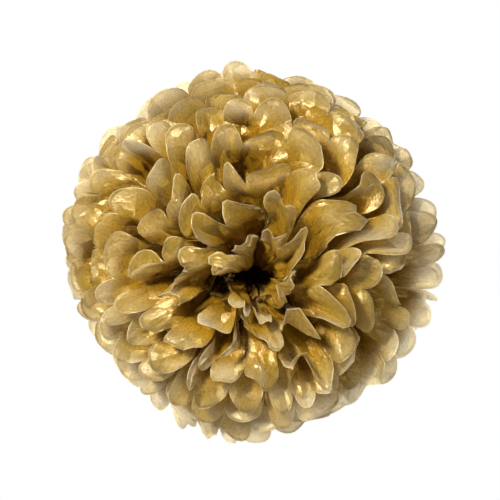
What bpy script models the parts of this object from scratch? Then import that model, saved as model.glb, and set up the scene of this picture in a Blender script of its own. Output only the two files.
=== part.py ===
"""A hanging ball of gold tissue paper, 250 mm across.

Fourteen sheets are folded together into one strip of pleats, tied with wire round the middle, cut round at both
ends and then pulled apart: seven sheets to the front pole and seven to the back one. Each sheet below starts as
the flat paper it is cut from, and one rule folds it: where a point lies along a pleat says how far out from the
tie it goes, and which pleat it is in says in what direction.

The paper is folded with the poles on Z, the strip on X and the pleats stacked along Y. The whole ball is then
turned so that its front pole looks along -Y, with the seam between its two halves leaning to one side.
"""

import math

import bmesh
import bpy
from mathutils import Matrix, Vector, noise

# The paper as it is cut
BALL_RADIUS = 0.125
SHEETS = 14
PLEATS = 16
PLEAT_WIDTH = 0.026
SCALLOP_DEPTH = 0.0115
SCALLOP_POINTS = 3
PAPER = 0.00015
PAPER_GAP = 0.0006

# How the ball is pulled open
SEAM_LEAN = math.radians(39.5)
SEAM_SLOT = 0.0012
SEAM_OPENING = math.radians(0.6)
POLE_MARGIN = math.radians(7)
DROOP = math.radians(10)
BACK_BEND = math.radians(4)
BACK_BEND_POWER = 7
SETTLE = 0.024
OPEN_END = 0.100
PETAL_START = 0.080
OPEN_RUN = 0.92
GOLDEN = (math.sqrt(5) - 1) / 2
TUCK_STEP = 0.16
TUCK_DIP = 0.8
TUCK_SHORT = 0.3
UNEVEN = 0.75
UNEVEN_DEPTH = 0.2
CROWDING = 0.9
RUFFLE_ROOM = 0.46
USED_ROOM = 0.46
FOLD_SOFTNESS = 0.6
CUP = 0.3
TIP_CURL = 0.22
TIP_CURL_SPREAD = 0.6
CURL_START = 0.092
SWAY = 0.018
SWAY_LENGTH = 0.095
SHAKE = 0.009
SHAKE_LENGTH = 0.040

# How fast each random value changes from fold to fold, from side to side and from sheet to sheet
TUCK_PACE = (0.3, 7.9, 0.17)
TUCK_CHOICE = 0.25
START_PACE = 2.3
PLACE_PACE = (0.7, 4.7, 0.35)
ROOM_PACE = (0.9, 1.2, 6.3)
DEPTH_PACE = (0.83, 1.9, 50)
CUP_PACE = (1.13, 6.1, 0.31)
CURL_PACE = (5, 3.1, 0.77)
SWAY_STEP = 11.3
SHAKE_STEP = 3.1
NOISE_START = Vector((0.37, 0.71, 0.53))
NOISE_GAIN = 1.7

# The tie
TIE_CRUSH = 0.1
BUNDLE_WIDTH = 0.009
BUNDLE_SHARE = 0.9
BUNDLE_RIPPLE = 0.0003
GATHER_END = 0.030
WIRE = 0.0009
WIRE_GAP = 0.0005
WIRE_TAIL = 0.011
WIRE_TWISTS = 2
STRAND_GAP = 0.0002
TAIL_ROOT = 1.5
STEPS_A_TWIST = 8
LOOP_STEPS = 20
LOOP_MOUTH = math.radians(56)

GOLD = (0.44, 0.28, 0.075, 1)
STEEL = (0.55, 0.5, 0.42, 1)
PAPER_ROUGHNESS = 0.6
STEEL_ROUGHNESS = 0.4

SHEET_PITCH = PAPER + PAPER_GAP
BUNDLE_HEIGHT = SHEET_PITCH * (SHEETS - 1)
NECK_HALF = WIRE / 2 + WIRE_GAP + BUNDLE_RIPPLE
NOTCH_RADIUS = BALL_RADIUS - SCALLOP_DEPTH


def clear_scene():
    for item in list(bpy.data.objects):
        bpy.data.objects.remove(item)


def material(name, colour, roughness, metallic):
    made = bpy.data.materials.new(name)
    made.use_nodes = True
    shader = made.node_tree.nodes["Principled BSDF"]
    shader.inputs["Base Color"].default_value = colour
    shader.inputs["Roughness"].default_value = roughness
    shader.inputs["Metallic"].default_value = metallic
    made.diffuse_color = colour
    return made


def ease(value, start, end):
    """0 before start, 1 after end, and a smooth rise between."""
    share = min(max((value - start) / (end - start), 0), 1)
    return share * share * (3 - 2 * share)


def wander(pace, *place_now):
    """A smooth random value between about -1 and 1 that depends only on where it is asked for."""
    steps = [step * now for step, now in zip(pace, place_now)]
    return noise.noise(Vector((*steps, 0, 0)[:3]) + NOISE_START) * NOISE_GAIN


def stand(sheet):
    """The angle from the front pole at which a sheet stands on average: they share what the two poles leave."""
    return POLE_MARGIN + (math.pi - 2 * POLE_MARGIN) * (sheet + 0.5) / SHEETS


def fold_plan(sheet, side):
    """How the pleats of one half fan lie: each fold's place from seam to seam and its depth.

    Depth is -1 on the side of the front pole and 1 on the other. An open pleat runs from one to the other. Near
    the poles there is less room round the fan than the paper needs, so pairs of pleats are tucked into a narrow
    groove between the petals beside it.
    """
    around = math.pi * BALL_RADIUS * math.sin(stand(sheet))
    spare_pairs = round((PLEATS - around / (OPEN_RUN * PLEAT_WIDTH)) / 2)
    order = sorted(
        range(1, PLEATS // 2),
        key=lambda pair: (pair * GOLDEN + TUCK_CHOICE * wander(TUCK_PACE, pair, side, sheet)) % 1,
    )
    tucked = order[: max(spare_pairs, 0)]
    places, depths = [0], [1 if wander((START_PACE,), side) > 0 else -1]
    for pleat in range(PLEATS):
        if (pleat + 1) // 2 not in tucked:
            places.append(places[-1] + 1 + UNEVEN * wander(PLACE_PACE, pleat, side, sheet))
            depths.append(-depths[-1])
        else:
            places.append(places[-1] + TUCK_STEP / 2)
            depths.append(depths[-1] * TUCK_DIP if pleat % 2 == 1 else depths[-2])
    return [spot / places[-1] for spot in places], depths


def band(sheet, side, azimuth):
    """The room that a sheet has between its neighbours in one direction: its start and its width, as angles."""
    weights = [math.exp(CROWDING * wander(ROOM_PACE, other, azimuth, side)) for other in range(SHEETS)]
    unit = (math.pi - 2 * POLE_MARGIN) / sum(weights)
    return POLE_MARGIN + unit * sum(weights[:sheet]), unit * weights[sheet]


def fold_azimuth(fold, plan):
    return (plan[0][fold] - 0.5) * (math.pi - 2 * SEAM_OPENING)


def fold_depth(sheet, fold, out, room, plan):
    """How deep in its room a fold lies, from the width of the paper and how far its pleats are open."""
    around = [fold_azimuth(other, plan) for other in range(max(fold - 1, 0), min(fold + 2, PLEATS + 1))]
    widest = max(abs(after - before) for before, after in zip(around, around[1:]))
    run = min(out * math.sin(stand(sheet)) * widest, OPEN_RUN * PLEAT_WIDTH)
    crushed = TIE_CRUSH + (1 - TIE_CRUSH) * ease(out, NECK_HALF, OPEN_END)
    shallow = 1 + UNEVEN_DEPTH * (wander(DEPTH_PACE, fold, sheet, plan[0][3]) - 1)
    height = math.sqrt(PLEAT_WIDTH**2 - run**2) / 2 * crushed * shallow
    return plan[1][fold] * min(height / (out * room), RUFFLE_ROOM)


def shear(point):
    """Shakes the ball out of its regular order. Each step slides along one axis, so no sheets meet."""
    for axis, (across, up) in enumerate(((1, 2), (2, 0), (0, 1))):
        reach = (point[across] ** 2 + point[up] ** 2) / BALL_RADIUS**2
        wide = wander((1 / SWAY_LENGTH, 1 / SWAY_LENGTH, SWAY_STEP), point[across], point[up], axis)
        close = wander((1 / SHAKE_LENGTH, 1 / SHAKE_LENGTH, SHAKE_STEP), point[across], point[up], axis + 3)
        point[axis] += (SWAY * wide + SHAKE * close) * min(reach, 1)
    return point


def settle(point, risen):
    """Makes the ball a little wider than it is tall, as it settles under its own weight. Only `out` changes."""
    heading = point.normalized()
    level = heading.x * math.cos(SEAM_LEAN) + heading.y * math.sin(SEAM_LEAN)
    upright = heading.y * math.cos(SEAM_LEAN) - heading.x * math.sin(SEAM_LEAN)
    return point * (1 + SETTLE * risen**2 * (level**2 - upright**2))


def spread_point(sheet, side, pleat, share, out, plan):
    """A point of the opened fan: `share` of the way across a pleat, `out` from the tie.

    The scallop of a tucked pleat is folded down in its groove.
    """
    tucked = plan[1][pleat] * plan[1][pleat + 1] > 0
    if tucked:
        out = min(out, NOTCH_RADIUS) + TUCK_SHORT * max(out - NOTCH_RADIUS, 0)
    fold_a, fold_b = (fold_azimuth(fold, plan) for fold in (pleat, pleat + 1))
    azimuth = fold_a + share * (fold_b - fold_a)
    start, room = band(sheet, side, azimuth)
    depth_a, depth_b = (fold_depth(sheet, fold, out, room, plan) for fold in (pleat, pleat + 1))
    opened = ease(out, GATHER_END, BALL_RADIUS)
    eased = share - FOLD_SOFTNESS * opened * math.sin(2 * math.pi * share) / (2 * math.pi)
    depth = depth_a + eased * (depth_b - depth_a)
    if not tucked:
        depth += CUP * wander(CUP_PACE, pleat, side, sheet) * math.sin(math.pi * share) * opened
    curl = TIP_CURL + TIP_CURL_SPREAD * wander(CURL_PACE, azimuth, side, sheet)
    tip = max(out - CURL_START, 0) / (BALL_RADIUS - CURL_START)
    depth += curl * tip**2 * math.cos(stand(sheet))
    polar = start + room * (0.5 + USED_ROOM * math.tanh(depth / USED_ROOM))
    risen = out / BALL_RADIUS
    polar -= math.sin(2 * polar) * (DROOP * (1 - risen**2) + BACK_BEND * (1 - risen**BACK_BEND_POWER))
    slot = SEAM_SLOT * (1 - ease(out, WIRE_TAIL, OPEN_END)) + PAPER
    point = Vector(
        (
            side * (out * math.sin(polar) * math.cos(azimuth) + slot),
            out * math.sin(polar) * math.sin(azimuth),
            out * math.cos(polar),
        )
    )
    return shear(settle(point, risen))


def neck_end(sheet):
    """How far from the tie a sheet starts to bend: each bends round the ones that lie nearer the pole."""
    return NECK_HALF + SHEET_PITCH * min(sheet, SHEETS - 1 - sheet)


def neck_point(sheet, side, pleat, share, plan):
    """A point of the gathered bundle beside the tie, where the sheets lie on each other."""
    ripple = BUNDLE_RIPPLE / 2 * ((1 - share) * plan[1][pleat] + share * plan[1][pleat + 1])
    height = BUNDLE_HEIGHT / 2 - sheet * SHEET_PITCH - ripple
    width = BUNDLE_WIDTH * math.sqrt(1 - (BUNDLE_SHARE * (1 - 2 * sheet / (SHEETS - 1))) ** 2)
    return Vector((side * neck_end(sheet), width * ((pleat + share) / PLEATS - 0.5), height))


def place(sheet, side, across, out, plan):
    """Folds one point of the flat paper to its place in the ball."""
    pleat = min(int(across), PLEATS - 1)
    share = across - pleat
    gathered = ease(out, neck_end(sheet), GATHER_END)
    neck = neck_point(sheet, side, pleat, share, plan)
    if gathered == 0:
        return neck
    return neck.lerp(spread_point(sheet, side, pleat, share, out, plan), gathered)


def flat_sheet(neck):
    """The flat paper: a column of faces for each pleat, cut to a round scallop at both ends of the strip."""
    rows = [-NOTCH_RADIUS, -PETAL_START, -neck, neck, PETAL_START, NOTCH_RADIUS]
    mesh = bmesh.new()
    bmesh.ops.create_grid(mesh, x_segments=len(rows) - 1, y_segments=PLEATS, size=1)
    for vertex in mesh.verts:
        row = round((vertex.co.x + 1) / 2 * (len(rows) - 1))
        vertex.co.x = rows[row]
        vertex.co.y = (vertex.co.y + 1) / 2 * PLEATS
    ends = [
        edge
        for edge in mesh.edges
        if all(abs(abs(vertex.co.x) - NOTCH_RADIUS) < 1e-6 for vertex in edge.verts)
    ]
    cut = bmesh.ops.subdivide_edges(mesh, edges=ends, cuts=SCALLOP_POINTS)
    for vertex in {item for item in cut["geom_inner"] if isinstance(item, bmesh.types.BMVert)}:
        step = round((vertex.co.y % 1) * (SCALLOP_POINTS + 1))
        turn = math.pi * step / (SCALLOP_POINTS + 1)
        pleat = math.floor(vertex.co.y)
        vertex.co.y = pleat + (1 - math.cos(turn)) / 2
        vertex.co.x = math.copysign(NOTCH_RADIUS + SCALLOP_DEPTH * math.sin(turn), vertex.co.x)
    notches = [vertex for vertex in mesh.verts if abs(abs(vertex.co.x) - NOTCH_RADIUS) < 1e-6]
    bmesh.ops.connect_verts(mesh, verts=notches)
    bmesh.ops.triangulate(mesh, faces=mesh.faces[:])
    return mesh


def make_sheet(sheet, frame, group, paper):
    """One sheet of tissue: the flat paper, folded, with the paper's thickness."""
    mesh = flat_sheet(neck_end(sheet))
    plans = {side: fold_plan(sheet, side) for side in (-1, 1)}
    for vertex in mesh.verts:
        along, across = vertex.co.x, vertex.co.y
        side = 1 if along > 0 else -1
        vertex.co = place(sheet, side, across, abs(along), plans[side])
    data = bpy.data.meshes.new(f"tissue_sheet_{sheet + 1:02d}")
    mesh.to_mesh(data)
    mesh.free()
    data.materials.append(paper)
    item = bpy.data.objects.new(data.name, data)
    item.parent = frame
    group.objects.link(item)
    thickness = item.modifiers.new("Paper thickness", "SOLIDIFY")
    thickness.thickness = PAPER
    thickness.offset = 0
    return item


def wire_route():
    """The wire's middle line: down one strand of the twisted tail, round the bundle and up the other."""
    strand = (WIRE + STRAND_GAP) / 2
    half_width = BUNDLE_WIDTH / 2 + WIRE_GAP + WIRE / 2
    half_height = (BUNDLE_HEIGHT + PAPER + BUNDLE_RIPPLE) / 2 / BUNDLE_SHARE + WIRE_GAP + WIRE / 2
    steps = STEPS_A_TWIST * WIRE_TWISTS
    root = half_width + TAIL_ROOT * WIRE
    tail = []
    for step in range(steps + 1):
        turn = math.pi / 2 + 2 * math.pi * WIRE_TWISTS * step / steps
        reach = root + WIRE_TAIL * step / steps
        tail.append((strand * math.cos(turn), reach, strand * math.sin(turn)))
    loop = []
    for step in range(LOOP_STEPS + 1):
        turn = LOOP_MOUTH / 2 + (2 * math.pi - LOOP_MOUTH) * step / LOOP_STEPS
        loop.append((0, half_width * math.cos(turn), half_height * math.sin(turn)))
    back = [(-x, y, -z) for x, y, z in tail]
    return [Vector(point) for point in tail[::-1] + loop + back]


def make_tie(frame, group, wire):
    curve = bpy.data.curves.new("wire_tie", "CURVE")
    curve.dimensions = "3D"
    curve.bevel_depth = WIRE / 2
    curve.bevel_resolution = 1
    curve.use_fill_caps = True
    route = wire_route()
    line = curve.splines.new("POLY")
    line.points.add(len(route) - 1)
    for point, place_now in zip(line.points, route):
        point.co = (*place_now, 1)
    curve.materials.append(wire)
    item = bpy.data.objects.new("wire_tie", curve)
    item.parent = frame
    group.objects.link(item)
    return item


def build():
    clear_scene()
    group = bpy.data.collections.new("tissue_pom_pom")
    bpy.context.scene.collection.children.link(group)
    frame = bpy.data.objects.new("folded_frame", None)
    strip = Vector((math.cos(SEAM_LEAN), 0, -math.sin(SEAM_LEAN)))
    seam = Vector((math.sin(SEAM_LEAN), 0, math.cos(SEAM_LEAN)))
    pole = Vector((0, -1, 0))
    frame.matrix_world = Matrix((strip, seam, pole)).transposed().to_4x4()
    group.objects.link(frame)
    paper = material("gold_tissue", GOLD, PAPER_ROUGHNESS, 0)
    wire = material("tie_wire", STEEL, STEEL_ROUGHNESS, 1)
    for sheet in range(SHEETS):
        make_sheet(sheet, frame, group, paper)
    make_tie(frame, group, wire)


build()
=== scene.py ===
import math
import random
from collections import namedtuple

import bmesh
import bpy
from mathutils import Matrix, Vector, noise


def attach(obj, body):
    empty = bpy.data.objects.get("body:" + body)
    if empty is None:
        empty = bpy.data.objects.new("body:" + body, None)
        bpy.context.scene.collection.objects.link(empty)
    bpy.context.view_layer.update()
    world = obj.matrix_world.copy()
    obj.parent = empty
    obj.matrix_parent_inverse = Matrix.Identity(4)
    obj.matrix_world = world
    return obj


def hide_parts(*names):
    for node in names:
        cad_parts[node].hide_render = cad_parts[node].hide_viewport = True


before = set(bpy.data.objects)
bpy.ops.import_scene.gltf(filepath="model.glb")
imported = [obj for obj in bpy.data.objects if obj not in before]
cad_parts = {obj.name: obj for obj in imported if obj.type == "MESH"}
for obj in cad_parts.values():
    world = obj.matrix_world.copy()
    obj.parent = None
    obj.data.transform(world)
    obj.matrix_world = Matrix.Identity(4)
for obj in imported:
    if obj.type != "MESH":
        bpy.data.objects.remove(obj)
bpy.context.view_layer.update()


# Tissue sheets
# Fourteen sheets of gold tissue paper, folded together into a strip of sixteen pleats, tied round the middle
# and cut round at both ends. Each sheet was pulled away from the next, seven to the front pole and seven to
# the back one, so that every pleat opens into a petal. One rule folds the flat paper of each to its place.

BALL_RADIUS = 0.125
SHEETS = 14
HALF_FANS = (-1, 1)
PLEATS = 16
PLEAT_WIDTH = 0.026
SCALLOP_DEPTH = 0.0115
NOTCH_RADIUS = BALL_RADIUS - SCALLOP_DEPTH
PAPER = 0.00015
PAPER_GAP = 0.0006
SHEET_PITCH = PAPER + PAPER_GAP
NOISE_START = Vector((0.37, 0.71, 0.53))
NOISE_GAIN = 1.7


def ease(value, start, end):
    """0 before start, 1 after end, and a smooth rise between."""
    share = min(max((value - start) / (end - start), 0), 1)
    return share * share * (3 - 2 * share)


def wander(pace, *place_now):
    """A smooth random value between about -1 and 1 that depends only on where it is asked for."""
    steps = [step * now for step, now in zip(pace, place_now)]
    return noise.noise(Vector((*steps, 0, 0)[:3]) + NOISE_START) * NOISE_GAIN


# How the sheets share the half circle from pole to pole
POLE_MARGIN = math.radians(7)
CROWDING = 0.9
ROOM_PACE = (0.9, 1.2, 6.3)
ANGLE_DIGITS = 5
rooms = {}


def stand(sheet):
    """The angle from the front pole at which a sheet stands on average."""
    return POLE_MARGIN + (math.pi - 2 * POLE_MARGIN) * (sheet + 0.5) / SHEETS


def band(sheet, side, azimuth):
    """The room of a sheet between its neighbours in one direction: its start and its width, as angles."""
    key = (sheet, side, round(azimuth, ANGLE_DIGITS))
    if key not in rooms:
        weights = [math.exp(CROWDING * wander(ROOM_PACE, other, azimuth, side)) for other in range(SHEETS)]
        unit = (math.pi - 2 * POLE_MARGIN) / sum(weights)
        rooms[key] = (POLE_MARGIN + unit * sum(weights[:sheet]), unit * weights[sheet])
    return rooms[key]


# Where the folds lie: near a pole there is less room, so some pairs of pleats stay tucked in
OPEN_RUN = 0.92
GOLDEN = (math.sqrt(5) - 1) / 2
TUCK_CHOICE = 0.25
TUCK_PACE = (0.3, 7.9, 0.17)
TUCK_STEP = 0.16
TUCK_DIP = 0.8
START_PACE = 2.3
UNEVEN = 0.75
PLACE_PACE = (0.7, 4.7, 0.35)
SEAM_OPENING = math.radians(0.6)

FoldPlan = namedtuple("FoldPlan", "places depths low")


def fold_plan(sheet, side):
    """How the folds of one half fan lie: their places from seam to seam, their depths, and which lie low."""
    around = math.pi * BALL_RADIUS * math.sin(stand(sheet))
    spare_pairs = round((PLEATS - around / (OPEN_RUN * PLEAT_WIDTH)) / 2)
    order = sorted(
        range(1, PLEATS // 2),
        key=lambda pair: (pair * GOLDEN + TUCK_CHOICE * wander(TUCK_PACE, pair, side, sheet)) % 1,
    )
    tucked = order[: max(spare_pairs, 0)]
    folded_in = [(pleat + 1) // 2 in tucked for pleat in range(PLEATS)]
    places, depths = [0], [1 if wander((START_PACE,), side) > 0 else -1]
    for pleat in range(PLEATS):
        if folded_in[pleat]:
            places.append(places[-1] + TUCK_STEP / 2)
            depths.append(depths[-1] * TUCK_DIP if pleat % 2 == 1 else depths[-2])
        else:
            places.append(places[-1] + 1 + UNEVEN * wander(PLACE_PACE, pleat, side, sheet))
            depths.append(-depths[-1])
    low = [before and after for before, after in zip([False] + folded_in, folded_in + [False])]
    evened = [(before + 2 * now + after) / 4 for before, now, after in zip(places, places[1:], places[2:])]
    for fold, spot in enumerate(evened, 1):
        if not folded_in[fold - 1] and not folded_in[fold]:
            places[fold] = spot
    return FoldPlan([spot / places[-1] for spot in places], depths, low)


def fold_azimuth(fold, plan):
    """Where a fold lies round the pole, as an angle from the middle of its half fan."""
    return (plan.places[fold] - 0.5) * (math.pi - 2 * SEAM_OPENING)


def tucked_in(pleat, plan):
    """Whether a pleat stays folded in: both of its folds are then on the same side of the sheet."""
    return plan.depths[pleat] * plan.depths[pleat + 1] > 0


# How deep the folds are: crushed flat at the tie, deep further out, and shallow in rows of flat petals.
# The place of one fold differs from half fan to half fan, so it serves as the half fan's own number.
WIRE = 0.0009
WIRE_GAP = 0.0005
BUNDLE_RIPPLE = 0.0003
NECK_HALF = WIRE / 2 + WIRE_GAP + BUNDLE_RIPPLE
TIE_CRUSH = 0.1
OPEN_END = 0.100
UNEVEN_DEPTH = 0.2
DEPTH_PACE = (0.83, 1.9, 50)
OWN_FOLD = 3
FLATTENED = 0.95
FLAT_START = 0.07
FLAT_PACE = (7.7, 3.3, 1.6)
FLAT_RANGE = (-0.7, 0.0)
RUFFLE_ROOM = 0.46


def fold_depth(sheet, fold, out, room, plan):
    """How deep in its room a fold lies, from the width of the paper and how far its pleats are open."""
    around = [fold_azimuth(other, plan) for other in range(max(fold - 1, 0), min(fold + 2, PLEATS + 1))]
    widest = max(abs(after - before) for before, after in zip(around, around[1:]))
    run = min(out * math.sin(stand(sheet)) * widest, OPEN_RUN * PLEAT_WIDTH)
    crushed = TIE_CRUSH + (1 - TIE_CRUSH) * ease(out, NECK_HALF, OPEN_END)
    height = math.sqrt(PLEAT_WIDTH**2 - run**2) / 2 * crushed
    own = plan.places[OWN_FOLD]
    shallow = 1 + UNEVEN_DEPTH * (wander(DEPTH_PACE, fold, sheet, own) - 1)
    calm = ease(wander(FLAT_PACE, sheet, own, fold_azimuth(fold, plan)), *FLAT_RANGE)
    shallow *= 1 - FLATTENED * calm * ease(out, FLAT_START, BALL_RADIUS)
    return plan.depths[fold] * min(height * shallow / (out * room), RUFFLE_ROOM)


# The sway of the whole ball, and how it settles when it hangs
OTHER_AXES = ((1, 2), (2, 0), (0, 1))
SWAY = 0.018
SWAY_LENGTH = 0.095
SWAY_PACE = (1 / SWAY_LENGTH, 1 / SWAY_LENGTH, 11.3)
SHAKE = 0.0105
SHAKE_LENGTH = 0.040
SHAKE_PACE = (1 / SHAKE_LENGTH, 1 / SHAKE_LENGTH, 3.1)
SHAKE_FIRST = 3
SETTLE = 0.024
SEAM_LEAN = math.radians(39.5)


def shear(point):
    """Shakes the ball out of its regular order. Each step slides along one axis, so no sheets meet."""
    for axis, (across, up) in enumerate(OTHER_AXES):
        reach = (point[across] ** 2 + point[up] ** 2) / BALL_RADIUS**2
        wide = wander(SWAY_PACE, point[across], point[up], axis)
        close = wander(SHAKE_PACE, point[across], point[up], axis + SHAKE_FIRST)
        point[axis] += (SWAY * wide + SHAKE * close) * min(reach, 1)
    return point


def settle(point, risen):
    """Makes the ball a little wider than it is tall, as it settles under its own weight."""
    heading = point.normalized()
    level = heading.x * math.cos(SEAM_LEAN) + heading.y * math.sin(SEAM_LEAN)
    upright = heading.y * math.cos(SEAM_LEAN) - heading.x * math.sin(SEAM_LEAN)
    return point * (1 + SETTLE * risen**2 * (level**2 - upright**2))


# The opened fan: where tucked pleats end, how petals sink, cup and curl, and how sheets droop and bend back
GATHER_END = 0.030
TUCK_SHORT = 0.3
SINK = 0.3
LOW_WALL = 0.7
FOLD_SOFTNESS = 0.1
CUP = 0.06
CUP_PACE = (1.13, 6.1, 0.31)
TIP_CURL = 0.22
TIP_CURL_SPREAD = 0.6
CURL_PACE = (5, 3.1, 0.77)
CURL_START = 0.092
USED_ROOM = 0.46
DROOP = math.radians(10)
BACK_BEND = math.radians(4)
BACK_BEND_POWER = 7
SEAM_SLOT = 0.0012
WIRE_TAIL = 0.011


def spread_point(sheet, side, pleat, share, out, plan):
    """A point of the opened fan: `share` of the way across a pleat, `out` from the tie."""
    tucked = tucked_in(pleat, plan)
    if tucked:
        out = min(out, NOTCH_RADIUS) + TUCK_SHORT * max(out - NOTCH_RADIUS, 0)
    low = max(plan.low[pleat] * ease(1 - share, 0, LOW_WALL), plan.low[pleat + 1] * ease(share, 0, LOW_WALL))
    out *= 1 - SINK * low * ease(out, GATHER_END, OPEN_END)
    fold_a, fold_b = (fold_azimuth(fold, plan) for fold in (pleat, pleat + 1))
    azimuth = fold_a + share * (fold_b - fold_a)
    start, room = band(sheet, side, azimuth)
    depth_a, depth_b = (fold_depth(sheet, fold, out, room, plan) for fold in (pleat, pleat + 1))
    opened = ease(out, GATHER_END, BALL_RADIUS)
    eased = share - FOLD_SOFTNESS * opened * math.sin(2 * math.pi * share) / (2 * math.pi)
    depth = depth_a + eased * (depth_b - depth_a)
    if not tucked:
        depth += CUP * wander(CUP_PACE, pleat, side, sheet) * math.sin(math.pi * share) * opened
    curl = TIP_CURL + TIP_CURL_SPREAD * wander(CURL_PACE, azimuth, side, sheet)
    tip = max(out - CURL_START, 0) / (BALL_RADIUS - CURL_START)
    depth += curl * tip**2 * math.cos(stand(sheet))
    polar = start + room * (0.5 + USED_ROOM * math.tanh(depth / USED_ROOM))
    risen = out / BALL_RADIUS
    polar -= math.sin(2 * polar) * (DROOP * (1 - risen**2) + BACK_BEND * (1 - risen**BACK_BEND_POWER))
    slot = SEAM_SLOT * (1 - ease(out, WIRE_TAIL, OPEN_END)) + PAPER
    point = Vector(
        (
            side * (out * math.sin(polar) * math.cos(azimuth) + slot),
            out * math.sin(polar) * math.sin(azimuth),
            out * math.cos(polar),
        )
    )
    return shear(settle(point, risen))


# The gathered bundle beside the tie, where the sheets lie on each other
BUNDLE_WIDTH = 0.009
BUNDLE_SHARE = 0.9
BUNDLE_HEIGHT = SHEET_PITCH * (SHEETS - 1)


def neck_end(sheet):
    """How far from the tie a sheet starts to bend: each bends round the ones that lie nearer the pole."""
    return NECK_HALF + SHEET_PITCH * min(sheet, SHEETS - 1 - sheet)


def neck_point(sheet, side, pleat, share, plan):
    """A point of the bundle. The outer sheets of the stack are narrower, as the wire rounds it."""
    ripple = BUNDLE_RIPPLE / 2 * ((1 - share) * plan.depths[pleat] + share * plan.depths[pleat + 1])
    height = BUNDLE_HEIGHT / 2 - sheet * SHEET_PITCH - ripple
    width = BUNDLE_WIDTH * math.sqrt(1 - (BUNDLE_SHARE * (1 - 2 * sheet / (SHEETS - 1))) ** 2)
    return Vector((side * neck_end(sheet), width * ((pleat + share) / PLEATS - 0.5), height))


def place(sheet, side, pleat, share, out, plan):
    """Folds one point of the flat paper to its place in the ball."""
    gathered = ease(out, neck_end(sheet), GATHER_END)
    neck = neck_point(sheet, side, pleat, share, plan)
    if gathered == 0:
        return neck
    return neck.lerp(spread_point(sheet, side, pleat, share, out, plan), gathered)


# The flat paper as a grid, with its rows closest together in the petals
COLUMNS = 12
INNER_ROWS = 3
MIDDLE_ROWS = 9
MIDDLE_END = 0.085
PETAL_ROWS = 18

FlatSpot = namedtuple("FlatSpot", "side flat pleat share from_edge")


def row_distances(sheet):
    """How far from the tie each row of the paper lies, up to the middle of a scallop."""
    neck = neck_end(sheet)
    inner = [neck + (GATHER_END - neck) * step / INNER_ROWS for step in range(INNER_ROWS)]
    middle = [GATHER_END + (MIDDLE_END - GATHER_END) * step / MIDDLE_ROWS for step in range(MIDDLE_ROWS)]
    petal = [MIDDLE_END + (BALL_RADIUS - MIDDLE_END) * step / PETAL_ROWS for step in range(PETAL_ROWS + 1)]
    return inner + middle + petal


def fold_paper(mesh, sheet, rows, plans):
    """Folds the grid of a flat sheet into the ball. Returns each vertex's spot on it and the petals' tips."""
    spots, tips = {}, {}
    for vertex in mesh.verts:
        along = round((vertex.co.x + 1) / 2 * (2 * len(rows) - 1)) - len(rows)
        side = -1 if along < 0 else 1
        row = -along - 1 if along < 0 else along
        column = round((vertex.co.y + 1) / 2 * PLEATS * COLUMNS)
        pleat = min(column // COLUMNS, PLEATS - 1)
        share = (1 - math.cos(math.pi * (column - pleat * COLUMNS) / COLUMNS)) / 2
        tip = NOTCH_RADIUS + SCALLOP_DEPTH * 2 * math.sqrt(max(share * (1 - share), 0))
        stretch = ease(rows[row], GATHER_END, BALL_RADIUS)
        out = rows[row] * (1 + (tip / BALL_RADIUS - 1) * stretch)
        vertex.co = place(sheet, side, pleat, share, out, plans[side])
        if row == len(rows) - 1 and column - pleat * COLUMNS == COLUMNS // 2:
            tips[side, pleat] = vertex.co.copy()
        from_edge = PLEAT_WIDTH if tucked_in(pleat, plans[side]) else tip - out
        flat = Vector(((pleat + share) * PLEAT_WIDTH, out))
        spots[vertex] = FlatSpot(side, flat, pleat, share, from_edge)
    return spots, tips


# How each petal departs from the smooth fan. Two petals in five are folded over near the tip.
PETAL_SEED = 500
PETAL_SEED_STEP = 10
TWIST = 0.003
BEND = 0.0015
LOOSE_START = 0.085
TIP_FOLDS = (0, 0, 0, 1, 1)
FOLD_ANGLE = (45, 105)
FOLD_START = (0.1160, 0.1195)
FOLD_SLANT = 8


def petal_ways(sheet, side):
    """For each petal of a half fan its twist, its bend and the fold across its tip."""
    dice = random.Random(PETAL_SEED + PETAL_SEED_STEP * sheet + side)
    ways = []
    for pleat in range(PLEATS):
        fold_angle = dice.choice(TIP_FOLDS) * math.radians(dice.uniform(*FOLD_ANGLE))
        ways.append(
            (
                dice.uniform(-TWIST, TWIST),
                dice.uniform(-BEND, BEND),
                fold_angle,
                dice.uniform(*FOLD_START),
                math.tan(math.radians(dice.uniform(-FOLD_SLANT, FOLD_SLANT))),
            )
        )
    return ways


def petal_shift(spot, way, hanging, normal, outward):
    """How far a point of a petal moves for the petal's twist, its bend and its tip, which folds downwards."""
    twist, bend, fold_angle, fold_start, slant = way
    fold_angle *= hanging
    tip = max(spot.flat.y - LOOSE_START, 0) / (BALL_RADIUS - LOOSE_START)
    window = math.sin(math.pi * spot.share)
    shift = normal * (tip * tip * window * (bend + 2 * twist * (spot.share - 0.5)))
    beyond = max(spot.flat.y - fold_start - slant * (spot.share - 0.5) * PLEAT_WIDTH, 0)
    shift += normal * (math.sin(fold_angle) * beyond)
    shift -= outward * ((1 - math.cos(fold_angle)) * beyond)
    return shift


# The creases that the thin paper got when the ball was opened: stars of short folds
CREASE_SEED_STEP = 100
CREASE_STARS = 46
CREASE_START = 0.070
CREASE_FADE = (0.05, 0.08)
CREASE_LINES = 3
CREASE_TURN = 0.35
CREASE_TILT = 0.56
CREASE_REACH = (0.007, 0.015)


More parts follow.
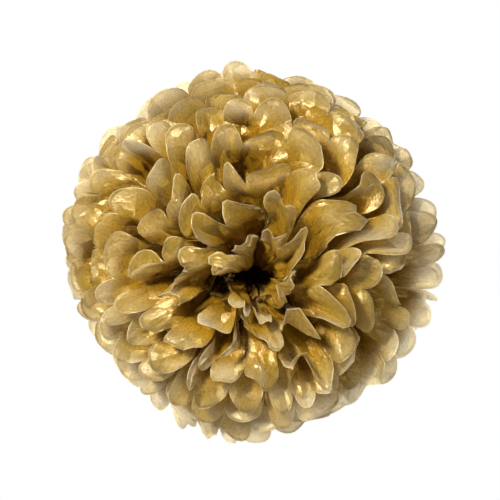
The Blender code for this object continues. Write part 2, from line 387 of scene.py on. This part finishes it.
def creases(sheet, side):
    """The stars of one half fan: the centre of each, how far it reaches, and its lines with their tilts."""
    dice = random.Random(CREASE_SEED_STEP * sheet + side)
    stars = []
    for star in range(CREASE_STARS):
        centre = Vector((dice.uniform(0, PLEATS * PLEAT_WIDTH), dice.uniform(CREASE_START, BALL_RADIUS)))
        first = dice.uniform(0, math.pi)
        lines = []
        for line in range(CREASE_LINES):
            angle = first + math.pi * line / CREASE_LINES + dice.uniform(-CREASE_TURN, CREASE_TURN)
            across = Vector((math.cos(angle), math.sin(angle)))
            lines.append((across, dice.uniform(-CREASE_TILT, CREASE_TILT)))
        stars.append((centre, dice.uniform(*CREASE_REACH), lines))
    return stars


def crease_height(flat, stars):
    """How far the paper stands off its smooth shape at a point of the flat sheet."""
    height = 0
    for centre, reach, lines in stars:
        offset = flat - centre
        distance = offset.length / reach
        if distance < 1:
            fade = (1 - distance * distance) ** 2
            height += fade * sum(tilt * abs(offset.dot(across)) for across, tilt in lines)
    return height


# Each sheet in its place: the front pole of the folded paper turns to -Y, and its seam leans
CREASE_ANGLE = math.radians(16)
PATTERN_STEP = 0.6
pole_to_front = Matrix(
    (
        Vector((math.cos(SEAM_LEAN), 0, -math.sin(SEAM_LEAN))),
        Vector((math.sin(SEAM_LEAN), 0, math.cos(SEAM_LEAN))),
        Vector((0, -1, 0)),
    )
).transposed()


def crease_paper(mesh, sheet, spots, tips):
    """Moves each vertex off the smooth fan, by the creases of the paper and the way of its petal."""
    stars = {side: creases(sheet, side) for side in HALF_FANS}
    ways = {side: petal_ways(sheet, side) for side in HALF_FANS}
    hanging = {petal: math.copysign(1, -(pole_to_front @ tip).z) for petal, tip in tips.items()}
    moves = []
    for vertex in mesh.verts:
        spot = spots[vertex]
        creased = vertex.normal * crease_height(spot.flat, stars[spot.side]) * ease(spot.flat.y, *CREASE_FADE)
        way, down = ways[spot.side][spot.pleat], hanging[spot.side, spot.pleat]
        moves.append(creased + petal_shift(spot, way, down, vertex.normal, vertex.co.normalized()))
    for vertex, move in zip(mesh.verts, moves):
        vertex.co += move


def make_sheet(sheet, paper):
    """Makes one sheet from a flat grid: folded, creased, thickened and put in its CAD node's place."""
    plans = {side: fold_plan(sheet, side) for side in HALF_FANS}
    rows = row_distances(sheet)
    mesh = bmesh.new()
    bmesh.ops.create_grid(mesh, x_segments=2 * len(rows) - 1, y_segments=PLEATS * COLUMNS, size=1)
    uv = mesh.loops.layers.uv.new("flat_paper")
    inside = mesh.verts.layers.float.new("from_cut_edge")
    spots, tips = fold_paper(mesh, sheet, rows, plans)
    mesh.normal_update()
    for vertex in mesh.verts:
        vertex[inside] = spots[vertex].from_edge
    for face in mesh.faces:
        for loop in face.loops:
            spot = spots[loop.vert]
            loop[uv].uv = (spot.side * spot.flat.y, spot.flat.x + sheet * PATTERN_STEP)
    crease_paper(mesh, sheet, spots, tips)
    mesh.transform(pole_to_front.to_4x4())
    data = bpy.data.meshes.new(f"sheet_{sheet + 1:02d}")
    mesh.to_mesh(data)
    mesh.free()
    data.shade_smooth()
    data.set_sharp_from_angle(angle=CREASE_ANGLE)
    data.materials.append(paper)
    item = bpy.data.objects.new(f"petal_sheet_{sheet + 1:02d}", data)
    bpy.context.scene.collection.objects.link(item)
    thickness = item.modifiers.new("Paper thickness", "SOLIDIFY")
    thickness.thickness = PAPER
    thickness.offset = 0
    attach(item, "root")
    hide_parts(f"tissue_sheet_{sheet + 1:02d}")


# The paper: darker gold deep inside the ball, which is painted shade, and paler towards the cut edge, which
# is painted light, where it also lets more light through. Its pattern follows the flat sheet. Lengths are in
# metres on the paper, and colours go from dark to light.
SATIN = 0.4
TIP_RANGE = (0.102, 0.121)
GRAIN_SIZE = 0.0014
GRAIN_RANGE = (0.32, 0.68)
GRAIN_SHARE = 0.55
PATCH_SIZE = 0.016
PATCH_RANGE = (0.3, 0.7)
PATCH_SHARE = 0.45
# Painted shade in the deep gold of the paper inside the ball, and painted light in the pale gold of the petal
# tips
PAINTED_SHADE_GOLD = ((0.10, 0.044, 0.001, 1), (0.24, 0.122, 0.005, 1))
PAINTED_LIGHT_GOLD = ((0.16, 0.089, 0.002, 1), (0.41, 0.26, 0.022, 1))
# A painted highlight along the cut edges of the paper, patchy, as where light grazes the edge
EDGE_HIGHLIGHT_WIDTH = (0.0001, 0.0008)
EDGE_HIGHLIGHT_LEAST = 0.4
PAINTED_EDGE_HIGHLIGHT = (0.90, 0.78, 0.48, 1)
SHEEN = ((1, 0.78, 0.38, 1), (1, 0.85, 0.48, 1))
SHEEN_LEVEL = 0.55
LIGHT_THROUGH_DEEP = (0.40, 0.17, 0.006, 1)
LIGHT_THROUGH_TIPS = ((0.94, 0.79, 0.48, 1), (1, 0.91, 0.68, 1))
CLEAR_LEAST = 0.05
CLEARER_TIPS = 0.60
WIDE_FACETS = (0.020, 0.38)
NARROW_FACETS = (0.008, 0.27)
WRINKLE_SIZE = 0.004
WRINKLE_HEIGHT = 0.00025
GRAIN_HEIGHT = 0.00004

paper = bpy.data.materials.new("gold tissue")
paper.use_nodes = True
nodes, links = paper.node_tree.nodes, paper.node_tree.links
nodes.clear()


def feed(socket, value):
    """Links a socket to another node's output, or sets it to a plain value."""
    if isinstance(value, bpy.types.NodeSocket):
        links.new(value, socket)
    else:
        socket.default_value = value


def number(operation, first, second=0, clamp=False):
    node = nodes.new("ShaderNodeMath")
    node.operation = operation
    node.use_clamp = clamp
    feed(node.inputs[0], first)
    feed(node.inputs[1], second)
    return node.outputs["Value"]


def vector(operation, first, second):
    node = nodes.new("ShaderNodeVectorMath")
    node.operation = operation
    feed(node.inputs[0], first)
    feed(node.inputs[1], second)
    return node.outputs["Value" if operation == "DOT_PRODUCT" else "Vector"]


def blend(share, first, second):
    """A colour between two. Sockets 6 and 7 and output 2 of the mix node are the ones for colours."""
    node = nodes.new("ShaderNodeMix")
    node.data_type = "RGBA"
    for socket, value in zip((node.inputs[0], node.inputs[6], node.inputs[7]), (share, first, second)):
        feed(socket, value)
    return node.outputs[2]


def spread(value, low, high, start=0, end=1):
    """Brings a value between low and high to the range from start to end."""
    node = nodes.new("ShaderNodeMapRange")
    node.interpolation_type = "SMOOTHSTEP"
    for name, limit in (("From Min", low), ("From Max", high), ("To Min", start), ("To Max", end)):
        node.inputs[name].default_value = limit
    links.new(value, node.inputs["Value"])
    return node.outputs["Result"]


def cloud(size):
    """Soft noise of this size on the flat paper."""
    node = nodes.new("ShaderNodeTexNoise")
    node.inputs["Scale"].default_value = 1 / size
    links.new(flat_place.outputs["UV"], node.inputs["Vector"])
    return node.outputs["Fac"]


def facets(size, steepness):
    """The height of flat facets, each tilted its own way, that meet in sharp creases."""
    cells = nodes.new("ShaderNodeTexVoronoi")
    cells.voronoi_dimensions = "2D"
    cells.inputs["Scale"].default_value = 1 / size
    links.new(flat_place.outputs["UV"], cells.inputs["Vector"])
    offset = vector("SUBTRACT", flat_place.outputs["UV"], cells.outputs["Position"])
    tilt = vector("SUBTRACT", cells.outputs["Color"], (0.5, 0.5, 0.5))
    return number("MULTIPLY", vector("DOT_PRODUCT", offset, tilt), 2 * steepness)


# Each closed sheet has two skins. The far one is clear, so that light passes the paper once.
flat_place = nodes.new("ShaderNodeTexCoord")
output = nodes.new("ShaderNodeOutputMaterial")
both = nodes.new("ShaderNodeMixShader")
gloss = nodes.new("ShaderNodeBsdfPrincipled")
gloss.inputs["Roughness"].default_value = SATIN
through = nodes.new("ShaderNodeBsdfTranslucent")
links.new(gloss.outputs["BSDF"], both.inputs[1])
links.new(through.outputs["BSDF"], both.inputs[2])
clear = nodes.new("ShaderNodeBsdfTransparent")
far_skin = nodes.new("ShaderNodeNewGeometry")
one_layer = nodes.new("ShaderNodeMixShader")
links.new(far_skin.outputs["Backfacing"], one_layer.inputs["Fac"])
links.new(both.outputs["Shader"], one_layer.inputs[1])
links.new(clear.outputs["BSDF"], one_layer.inputs[2])
links.new(one_layer.outputs["Shader"], output.inputs["Surface"])

flat_apart = nodes.new("ShaderNodeSeparateXYZ")
links.new(flat_place.outputs["UV"], flat_apart.inputs["Vector"])
from_tie = number("ABSOLUTE", flat_apart.outputs["X"])
tipness = spread(from_tie, *TIP_RANGE)
grain = spread(cloud(GRAIN_SIZE), *GRAIN_RANGE)
patches = spread(cloud(PATCH_SIZE), *PATCH_RANGE)
patch_tone = number("MULTIPLY", patches, PATCH_SHARE)
tone = number("ADD", patch_tone, number("MULTIPLY", grain, GRAIN_SHARE), clamp=True)
# Painted shade deep in the ball, going over to painted light at the petal tips; within each, the tone varies
# at random with grain and patches
gold = blend(tipness, blend(tone, *PAINTED_SHADE_GOLD), blend(tone, *PAINTED_LIGHT_GOLD))
cut_edge = nodes.new("ShaderNodeAttribute")
cut_edge.attribute_name = "from_cut_edge"
# Painted highlight along the cut edge, its strength patchy along the paper
edge_highlight_patches = number("ADD", number("MULTIPLY", patches, 1 - EDGE_HIGHLIGHT_LEAST), EDGE_HIGHLIGHT_LEAST)
painted_edge_highlight = number("MULTIPLY", spread(cut_edge.outputs["Fac"], *EDGE_HIGHLIGHT_WIDTH, start=1, end=0), edge_highlight_patches)
links.new(blend(painted_edge_highlight, gold, PAINTED_EDGE_HIGHLIGHT), gloss.inputs["Base Color"])
links.new(blend(tipness, *SHEEN), gloss.inputs["Specular Tint"])
links.new(number("ADD", grain, SHEEN_LEVEL), gloss.inputs["Specular IOR Level"])
seen_through = blend(grain, *LIGHT_THROUGH_TIPS)
links.new(blend(tipness, LIGHT_THROUGH_DEEP, seen_through), through.inputs["Color"])
links.new(number("ADD", number("MULTIPLY", tipness, CLEARER_TIPS), CLEAR_LEAST), both.inputs["Fac"])

relief = number("ADD", facets(*WIDE_FACETS), facets(*NARROW_FACETS))
relief = number("ADD", relief, number("MULTIPLY", cloud(WRINKLE_SIZE), WRINKLE_HEIGHT))
relief = number("ADD", relief, number("MULTIPLY", grain, GRAIN_HEIGHT))
bump = nodes.new("ShaderNodeBump")
bump.inputs["Distance"].default_value = 1
bump.inputs["Strength"].default_value = 1
links.new(relief, bump.inputs["Height"])
links.new(bump.outputs["Normal"], gloss.inputs["Normal"])
links.new(bump.outputs["Normal"], through.inputs["Normal"])

for sheet in range(SHEETS):
    make_sheet(sheet, paper)


# Wire tie
# One soft steel wire round the middle of the folded strip, its ends twisted together. It holds all the sheets
# at the centre of the ball. Its shape is the CAD one, and it gets the dull, drawn surface of plain wire.

WIRE_GRAIN = 1200
WIRE_ROUGHNESS = (0.28, 0.5)
WIRE_GREY = (0.42, 0.62)

wire = bpy.data.materials.new("tie wire")
wire.use_nodes = True
wire_nodes, wire_links = wire.node_tree.nodes, wire.node_tree.links
steel = wire_nodes["Principled BSDF"]
steel.inputs["Metallic"].default_value = 1
wire_place = wire_nodes.new("ShaderNodeTexCoord")
drawn = wire_nodes.new("ShaderNodeTexNoise")
drawn.inputs["Scale"].default_value = WIRE_GRAIN
wire_links.new(wire_place.outputs["Object"], drawn.inputs["Vector"])
for name, (low, high) in (("Roughness", WIRE_ROUGHNESS), ("Base Color", WIRE_GREY)):
    dulled = wire_nodes.new("ShaderNodeMapRange")
    dulled.inputs["To Min"].default_value = low
    dulled.inputs["To Max"].default_value = high
    wire_links.new(drawn.outputs["Fac"], dulled.inputs["Value"])
    wire_links.new(dulled.outputs["Result"], steel.inputs[name])
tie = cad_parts["wire_tie"]
tie.data.materials.clear()
tie.data.materials.append(wire)


# Studio
# The ball hangs in front of a bright white sheet, whose light comes through the paper from behind. A soft
# lamp at the upper left and a weak one at the right light its front. A pale floor lies far below it.

CAMERA_DISTANCE = 1.3
CAMERA_ELEVATION = math.radians(12)
PICTURE_WIDTH = 500
BALL_WIDTH_IN_PICTURE = 369
SENSOR = 36
WHITE = (1, 1, 1, 1)
BEHIND_RANGE = (0.5, 0.85)
ROOM_BRIGHTNESS = 0.03
SHEET_BRIGHTNESS = 3.4
FLOOR_RADIUS = 0.8
FLOOR_HEIGHT = -0.6
FLOOR_SIDES = 64
FLOOR_GREY = (0.85, 0.85, 0.85, 1)
FLOOR_ROUGHNESS = 0.9

camera_data = bpy.data.cameras.new("camera")
camera = bpy.data.objects.new("camera", camera_data)
bpy.context.scene.collection.objects.link(camera)
camera.location = (
    0,
    -CAMERA_DISTANCE * math.cos(CAMERA_ELEVATION),
    CAMERA_DISTANCE * math.sin(CAMERA_ELEVATION),
)
camera.rotation_euler = (math.pi / 2 - CAMERA_ELEVATION, 0, 0)
camera_data.sensor_width = SENSOR
shown_width = 2 * BALL_RADIUS * PICTURE_WIDTH / BALL_WIDTH_IN_PICTURE
camera_data.lens = SENSOR * CAMERA_DISTANCE / shown_width
bpy.context.scene.camera = camera

world = bpy.data.worlds.new("studio")
world.use_nodes = True
bpy.context.scene.world = world
room_nodes, room_links = world.node_tree.nodes, world.node_tree.links
seen = room_nodes.new("ShaderNodeLightPath")
direction = room_nodes.new("ShaderNodeTexCoord")
apart = room_nodes.new("ShaderNodeSeparateXYZ")
room_links.new(direction.outputs["Generated"], apart.inputs["Vector"])
behind = room_nodes.new("ShaderNodeMapRange")
behind.inputs["From Min"].default_value, behind.inputs["From Max"].default_value = BEHIND_RANGE
behind.inputs["To Min"].default_value = ROOM_BRIGHTNESS
behind.inputs["To Max"].default_value = SHEET_BRIGHTNESS
room_links.new(apart.outputs["Y"], behind.inputs["Value"])
room_light = room_nodes["Background"]
room_light.inputs["Color"].default_value = WHITE
room_links.new(behind.outputs["Result"], room_light.inputs["Strength"])
backdrop = room_nodes.new("ShaderNodeBackground")
backdrop.inputs["Strength"].default_value = 1
backdrop.inputs["Color"].default_value = WHITE
choice = room_nodes.new("ShaderNodeMixShader")
room_links.new(seen.outputs["Is Camera Ray"], choice.inputs["Fac"])
room_links.new(room_light.outputs["Background"], choice.inputs[1])
room_links.new(backdrop.outputs["Background"], choice.inputs[2])
room_links.new(choice.outputs["Shader"], room_nodes["World Output"].inputs["Surface"])


def softbox(name, spot, size, power):
    """A square lamp that faces the ball, with its size in metres and its power in watts."""
    data = bpy.data.lights.new(name, "AREA")
    data.size = size
    data.energy = power
    item = bpy.data.objects.new(name, data)
    item.location = spot
    item.rotation_euler = (-Vector(spot)).to_track_quat("-Z", "Y").to_euler()
    bpy.context.scene.collection.objects.link(item)


softbox("key", spot=(-0.72, -1.35, 0.95), size=0.3, power=84)
softbox("fill", spot=(0.9, -1.5, -0.2), size=0.7, power=11)

bpy.context.scene.view_settings.view_transform = "Standard"

floor_mesh = bmesh.new()
bmesh.ops.create_circle(floor_mesh, cap_ends=True, segments=FLOOR_SIDES, radius=FLOOR_RADIUS)
floor_data = bpy.data.meshes.new("floor")
floor_mesh.to_mesh(floor_data)
floor_mesh.free()
floor_paint = bpy.data.materials.new("floor")
floor_paint.use_nodes = True
floor_shader = floor_paint.node_tree.nodes["Principled BSDF"]
floor_shader.inputs["Base Color"].default_value = FLOOR_GREY
floor_shader.inputs["Roughness"].default_value = FLOOR_ROUGHNESS
floor_data.materials.append(floor_paint)
floor_data.transform(Matrix.Translation((0, 0, FLOOR_HEIGHT)))
floor = bpy.data.objects.new("floor", floor_data)
bpy.context.scene.collection.objects.link(floor)
